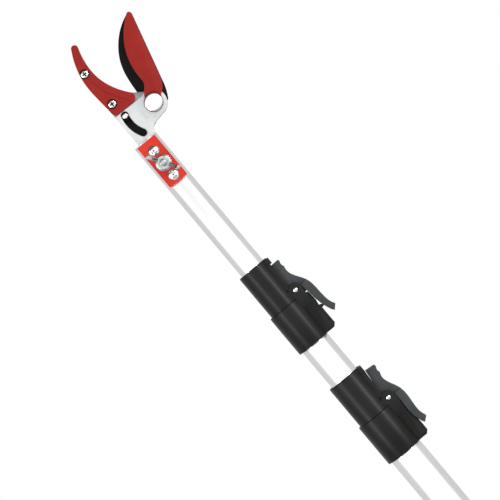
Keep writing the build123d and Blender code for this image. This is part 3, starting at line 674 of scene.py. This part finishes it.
@dataclass
class Pole(Assembly):
    """Three drawn tubes that nest in one another."""

    wall_mm: float = 1.2
    sides: int = 128
    lip_mm: float = 0.25

    def tube(self, node: str, name: str) -> bpy.types.Object:
        """Makes one tube with a wall and deburred ends.

        Args:
            node: CAD node of the tube.
            name: Name of the new piece.

        Returns:
            The fitted tube.
        """
        low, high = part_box(node)
        piece = begin(
            name, bpy.ops.mesh.primitive_cylinder_add, vertices=self.sides, radius=(high.x - low.x) / 2,
            depth=high.z - low.z, end_fill_type="NOTHING", location=(low + high) / 2,
        )
        apply_modifier(piece, "SOLIDIFY", thickness=self.wall_mm * MM, offset=-1.0)
        soften(piece, self.lip_mm, 2, 60)
        smooth(piece)
        return self.fit(piece, Slot.TUBE, node)

    def build(self) -> None:
        """Makes the three tubes."""
        for level in ("upper", "mid", "lower"):
            self.tube(f"{level}_tube", f"{level}_drawn_tube")


# ------------------------------------------------------------------------------------ the clamps


@dataclass
class LeverClamp(Assembly):
    """One lever clamp: moulded body, rocker lever and riveted pin."""

    level: str = "upper"
    body_edge_mm: float = 0.45
    lever_edge_mm: float = 0.5
    pin_r_mm: float = 1.75
    pin_rise_mm: float = 0.8

    def pin(self) -> bpy.types.Object:
        """Makes the pin with a domed head at each end.

        Returns:
            The fitted pin.
        """
        node = f"{self.level}_clamp_pin"
        low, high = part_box(node)
        middle = (low + high) / 2
        half = (high.y - low.y) / 2 / MM
        shaft = half - self.pin_rise_mm
        head = dome_profile(self.pin_r_mm, self.pin_rise_mm, shaft + 0.1)
        low_head = [(r, -h) for r, h in reversed(head)]
        piece = turned(f"{self.level}_rivet", low_head + head, 32)
        turn_to(piece, FRONT, middle)
        smooth(piece)
        return self.fit(piece, Slot.NICKEL, node)

    def build(self) -> None:
        """Makes the clamp's pieces."""
        level = self.level
        self.trace(f"{level}_clamp_body", f"{level}_clamp_moulding", Slot.CLAMP, self.body_edge_mm)
        self.trace(f"{level}_clamp_lever", f"{level}_rocker_lever", Slot.LEVER, self.lever_edge_mm)
        self.pin()


# ------------------------------------------------------------------------------------ the head


@dataclass
class Head(Assembly):
    """Cutting head: cover, hook, blades, hold plates and pivot."""

    plate_edge_mm: float = 0.4
    casting_edge_mm: float = 0.35
    blade_edge_mm: float = 0.12
    cap_r_mm: float = 6.45
    cap_sides: int = 96
    hook_head_r_mm: float = 2.7
    hook_node_head_r_mm: float = 3.0
    hook_shank_r_mm: float = 1.5
    hook_cross_mm: float = 3.4
    counterbore_r_mm: float = 3.42
    counterbore_depth_mm: float = 1.72
    cap_rise_mm: float = 1.55

    def castings(self) -> None:
        """Makes the cover and the frame."""
        self.trace("head_cover", "head_cover_casting", Slot.CASTING, self.casting_edge_mm)
        self.trace("head_frame", "head_frame_casting", Slot.CASTING, self.casting_edge_mm)

    def plates(self) -> None:
        """Makes the two red hold plates."""
        self.trace("hook_plate", "hook_hold_plate", Slot.RED, self.plate_edge_mm)
        self.trace("hold_plate", "blade_hold_plate", Slot.RED, self.plate_edge_mm)

    def blades(self) -> None:
        """Makes the two blades."""
        self.trace("counter_blade", "hook_counter_blade", Slot.COUNTER, self.blade_edge_mm)
        self.trace("cutting_blade", "moving_blade", Slot.BLADE, self.blade_edge_mm)

    def pivot(self) -> None:
        """Makes the domed cap with a dark band of painted shade round its foot, the crank pin's head and the
        bolt's nut.
        """
        low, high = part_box("pivot_cap")
        place = (low + high) / 2
        place.y = high.y
        foot = (high.y - low.y) / MM - self.cap_rise_mm
        radius = self.cap_r_mm
        # Shares of the radius and of the rise: a tight shoulder, then a nearly flat face
        crown = [(1.0, 0.0), (0.992, 0.35), (0.98, 0.6), (0.955, 0.76)]
        crown += [(0.91, 0.85), (0.7, 0.95), (0.4, 1.0), (0.1, 1.01)]
        profile = [(radius - 0.35, 0.0), (radius, 0.2)]
        profile += [(radius * part, foot + self.cap_rise_mm * lift) for part, lift in crown]
        cap = turned("pivot_dome", profile, self.cap_sides)
        turn_to(cap, FRONT, place)
        smooth(cap, 50.0)
        self.fit(cap, Slot.NICKEL, "pivot_cap")
        # A black annulus a little wider than the cap, tucked under its edge: painted shade round the cap's foot,
        # standing for no real part
        outer = radius + 0.3
        shade_ring_profile = [(outer - 0.1, 0.1), (outer, 0.3), (outer, foot - 0.4), (outer - 0.25, foot - 0.2)]
        shade_ring = turned("pivot_painted_shade_ring", shade_ring_profile, self.cap_sides)
        turn_to(shade_ring, FRONT, place)
        smooth(shade_ring)
        self.add(shade_ring, Slot.OXIDE, "pivot_cap")
        low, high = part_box("crank_pin")
        head = turned("crank_pin_head", [(1.9, 0.0), (1.95, 0.3), (1.75, 0.75), (1.3, 0.95)], 32)
        turn_to(head, FRONT, Vector(((low.x + high.x) / 2, low.y + 0.1 * MM, (low.z + high.z) / 2)))
        smooth(head)
        self.add(head, Slot.NICKEL, "crank_pin")
        self.trace("crank_pin", "crank_pin_shank", Slot.NICKEL, 0.12)
        for node, name in (("pivot_washer", "pivot_back_washer"), ("pivot_nut", "pivot_hex_nut"),
                           ("pivot_bolt", "pivot_shoulder_bolt")):
            self.trace(node, name, Slot.ZINC, 0.2)

    def hook_screws(self) -> None:
        """Makes the two countersunk screws of the hook, with painted shade: a dark cross on each recess's floor
        and a dark disc on each counterbore's floor.
        """
        low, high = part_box("hook_screws")
        inset = self.hook_node_head_r_mm * MM
        radius, shank, cross = self.hook_head_r_mm, self.hook_shank_r_mm, self.hook_cross_mm
        length = (high.y - low.y) / MM
        profile = [(shank, 0.0), (shank, length - 1.6), (radius, length - 1.5), (radius, length - 0.9)]
        profile += [(radius * 0.93, length - 0.55), (radius * 0.7, length - 0.25), (0.3, length - 0.15)]
        bore = self.counterbore_r_mm
        shade_disc_profile = [(bore - 0.12, 0.0), (bore, 0.06), (bore, 0.12), (bore - 0.12, 0.16)]
        spots = ((low.x + inset, high.z - inset, "upper"), (high.x - inset, low.z + inset, "lower"))
        for x, z, label in spots:
            place = Vector((x, high.y, z))
            screw = self.cross_screw(f"hook_screw_{label}", profile, place, cross)
            if label == "upper":
                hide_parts("hook_screws")
            self.add(screw, Slot.NICKEL, "hook_screws")
            # A thin dark cross on the recess's floor: painted shade in the cross recess
            recess_floor = place + FRONT * (length - 0.9) * MM
            floor = self.recess(f"hook_screw_painted_recess_shade_{label}", recess_floor, cross, 0.3)
            self.add(floor, Slot.OXIDE, "hook_screws")
            # A dark disc on the counterbore's floor: painted shade in the gap round the screw's head
            disc = turned(f"counterbore_painted_shade_{label}", shade_disc_profile, 48)
            turn_to(disc, FRONT, place + FRONT * (length - self.counterbore_depth_mm) * MM)
            smooth(disc)
            self.add(disc, Slot.OXIDE, "hook_screws")

    def fixings(self) -> None:
        """Makes the screws and sleeves of the hook, the frame and the hold plates, and the link."""
        self.hook_screws()
        self.trace("head_screws", "frame_pan_screws", Slot.ZINC, 0.15)
        self.trace("plate_screws", "hold_plate_rivets", Slot.NICKEL, 0.15)
        self.trace("plate_spacers", "hold_plate_sleeves", Slot.ZINC, 0.12)
        self.trace("rod_link", "crank_link", Slot.OXIDE, 0.2)
        self.trace("rod_guide", "rod_guide_ring", Slot.NATURAL, 0.15)

    def build(self) -> None:
        """Makes the head's pieces."""
        self.castings()
        self.plates()
        self.blades()
        self.pivot()
        self.fixings()


# ------------------------------------------------------------------------------------ the saw seat


@dataclass
class Seat(Assembly):
    """Red seat of the saw blade, with two dome screws, a stud, a washer and a wing nut."""

    screw_r_mm: float = 4.1
    screw_rise_mm: float = 2.3
    screw_cross_mm: float = 1.6
    seat_edge_mm: float = 0.8
    wing_edge_mm: float = 0.6

    def screws(self) -> None:
        """Makes the two dome screws, each with a thin dark cross of painted shade on its recess's floor."""
        low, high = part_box("seat_screws")
        middle = (low + high) / 2
        half = (high.z - low.z) / 2 - (high.x - low.x) / 2
        height = (high.y - low.y) / MM
        foot = height - self.screw_rise_mm
        profile = [(2.0, 0.0), (2.0, foot - 0.4), (self.screw_r_mm, foot - 0.4)]
        profile += dome_profile(self.screw_r_mm, self.screw_rise_mm, foot, 8)
        for side, label in ((1.0, "upper"), (-1.0, "lower")):
            place = Vector((middle.x, high.y, middle.z + side * half))
            screw = self.cross_screw(f"seat_screw_{label}", profile, place, self.screw_cross_mm)
            if side > 0:
                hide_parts("seat_screws")
            self.add(screw, Slot.NICKEL, "seat_screws")
            # A thin dark cross on the recess's floor: painted shade in the cross recess
            recess_floor = place + FRONT * (height - 0.95) * MM
            floor = self.recess(f"seat_screw_painted_recess_shade_{label}", recess_floor, self.screw_cross_mm, 0.3)
            self.add(floor, Slot.OXIDE, "seat_screws")

    def build(self) -> None:
        """Makes the seat, its screws and the wing nut."""
        self.trace("saw_seat", "saw_seat_casting", Slot.SEAT, self.seat_edge_mm, 3)
        self.screws()
        self.trace("wing_nut", "wing_nut_forging", Slot.ZINC, self.wing_edge_mm, 3)
        self.trace("wing_washer", "wing_nut_washer", Slot.ZINC, 0.2)
        self.trace("saw_stud", "saw_seat_stud", Slot.ZINC, 0.3)


# ------------------------------------------------------------------------------------ the handle


@dataclass
class Handle(Assembly):
    """Hand lever, its split shell, the grip and the end cap."""

    shell_edge_mm: float = 0.9
    lever_edge_mm: float = 1.2
    grip_edge_mm: float = 0.5

    def build(self) -> None:
        """Makes the handle's pieces."""
        for side in ("front", "rear"):
            node = f"handle_shell_{side}"
            self.trace(node, f"{node}_moulding", Slot.HANDLE, self.shell_edge_mm)
        self.trace("trigger_lever", "squeeze_lever_moulding", Slot.HANDLE, self.lever_edge_mm, 3)
        self.trace("trigger_crank", "squeeze_lever_crank", Slot.OXIDE, 0.25)
        self.trace("trigger_pin", "squeeze_lever_pin", Slot.NICKEL, 0.3)
        self.trace("crank_cross_pin", "yoke_cross_pin", Slot.NICKEL, 0.2)
        self.trace("handle_screws", "shell_pan_screws", Slot.ZINC, 0.15)
        self.trace("grip_sleeve", "grip_sleeve_rubber", Slot.RUBBER, self.grip_edge_mm)
        self.trace("end_cap", "butt_end_cap", Slot.RUBBER, 0.8, 3)
        self.trace("rod_yoke", "pull_yoke", Slot.NATURAL, 0.3)


# ------------------------------------------------------------------------------------ the studio


@dataclass
class Studio:
    """Camera, lights, world and floor of a white product studio."""

    view_centre: Vector
    view_side_mm: float = 345.0
    lens_mm: float = 180.0
    sensor_mm: float = 36.0
    roll_deg: float = 40.0
    floor_r: float = 3.2
    front_glow: float = 1.22
    round_glow: float = 0.68
    fill_glow: float = 0.4
    dark_glow: float = 0.12
    light_reach: float = 1.7

    def camera(self) -> None:
        """Places the camera in front, rolled so that the pole leans to the upper left."""
        data = bpy.data.cameras.new("studio_camera")
        data.lens, data.sensor_width = self.lens_mm, self.sensor_mm
        camera = bpy.data.objects.new("studio_camera", data)
        bpy.context.scene.collection.objects.link(camera)
        distance = self.view_side_mm * MM * self.lens_mm / self.sensor_mm
        roll = math.radians(self.roll_deg)
        right = Vector((math.cos(roll), 0, -math.sin(roll)))
        up = Vector((math.sin(roll), 0, math.cos(roll)))
        turn = Matrix((right, up, FRONT)).transposed().to_4x4()
        camera.matrix_world = Matrix.Translation(self.view_centre + FRONT * distance) @ turn
        data.clip_start, data.clip_end = 0.05, 50.0
        bpy.context.scene.camera = camera

    def softbox(
        self, name: str, azimuth: float, size: tuple[float, float], power: float, height: float
    ) -> None:
        """Adds a soft rectangular light that faces the head.

        Args:
            name: Name of the light.
            azimuth: Degrees round the pole from the camera's side, towards +X.
            size: Width and height in metres.
            power: Power in watts.
            height: Height of its middle above the floor.
        """
        data = bpy.data.lights.new(name, "AREA")
        data.shape, data.size, data.size_y, data.energy = "RECTANGLE", *size, power
        light = bpy.data.objects.new(name, data)
        bpy.context.scene.collection.objects.link(light)
        angle = math.radians(azimuth)
        reach = self.light_reach
        light.location = Vector((reach * math.sin(angle), -reach * math.cos(angle), height))
        aim = self.view_centre - light.location
        light.rotation_euler = aim.to_track_quat("-Z", "Y").to_euler()

    def world(self) -> None:
        """White backdrop; bright in front, grey all round, and dark above and below in reflections."""
        world = bpy.data.worlds.new("white_studio")
        bpy.context.scene.world = world
        world.use_nodes = True
        tree = world.node_tree
        tree.nodes.clear()
        way = add_node(tree, "ShaderNodeTexCoord").outputs["Generated"]
        forward = add_node(
            tree, "ShaderNodeVectorMath", {1: tuple(FRONT)}, {0: way}, operation="DOT_PRODUCT"
        ).outputs["Value"]
        glow = add_node(
            tree, "ShaderNodeMapRange",
            {"From Min": 0.1, "From Max": 0.35, "To Min": self.round_glow, "To Max": self.front_glow},
            {"Value": forward}, interpolation_type="SMOOTHSTEP",
        ).outputs["Result"]
        rise = add_node(tree, "ShaderNodeSeparateXYZ", links={0: way}).outputs["Z"]
        steep = add_node(tree, "ShaderNodeMath", links={0: rise}, operation="ABSOLUTE").outputs["Value"]
        cap = add_node(
            tree, "ShaderNodeMapRange", {"From Min": 0.34, "From Max": 0.6}, {"Value": steep},
            interpolation_type="SMOOTHSTEP",
        ).outputs["Result"]
        mirrored = add_node(tree, "ShaderNodeMix", {3: self.dark_glow}, {0: cap, 2: glow}).outputs[0]
        path = add_node(tree, "ShaderNodeLightPath")
        lit = add_node(
            tree, "ShaderNodeMix", {3: self.fill_glow}, {0: path.outputs["Is Diffuse Ray"], 2: mirrored}
        ).outputs[0]
        level = add_node(
            tree, "ShaderNodeMix", {3: 1.0}, {0: path.outputs["Is Camera Ray"], 2: lit}
        ).outputs[0]
        back = add_node(tree, "ShaderNodeBackground", {"Color": (1, 1, 1, 1)}, {"Strength": level})
        add_node(tree, "ShaderNodeOutputWorld", links={"Surface": back.outputs["Background"]})

    def floor(self) -> None:
        """Lays a plain pale floor under the butt."""
        piece = begin("studio_floor", bpy.ops.mesh.primitive_circle_add, vertices=96, radius=self.floor_r,
                      fill_type="NGON", location=(0, 0, -0.0005))
        material = bpy.data.materials.new("matt_white_floor")
        material.use_nodes = True
        shader = material.node_tree.nodes["Principled BSDF"]
        shader.inputs["Base Color"].default_value = srgb("f4f4f3")
        shader.inputs["Roughness"].default_value = 0.9
        piece.data.materials.append(material)

    def build(self) -> None:
        """Sets up the studio."""
        view = bpy.context.scene.view_settings
        view.view_transform, view.look = "Standard", "None"
        self.camera()
        self.world()
        self.softbox("left_strip", -47.0, (0.16, 1.7), 8.0, 1.1)
        self.softbox("key_strip", 45.0, (0.18, 1.7), 12.0, 1.1)
        self.floor()


def main() -> None:
    """Builds the studio and the sub-assemblies in order."""
    logging.basicConfig(level=logging.INFO, format="%(name)s: %(message)s")
    stud = joint_place("wing_nut_turn")
    Studio(view_centre=stud + Vector((6.95 * MM, -8.0 * MM, -84.25 * MM))).build()
    paints = Paints.mix()
    paints.coat_frame()
    Pole(paints).build()
    LeverClamp(paints, level="upper").build()
    LeverClamp(paints, level="lower").build()
    Head(paints).build()
    Seat(paints).build()
    Handle(paints).build()


if __name__ == "__main__":
    main()
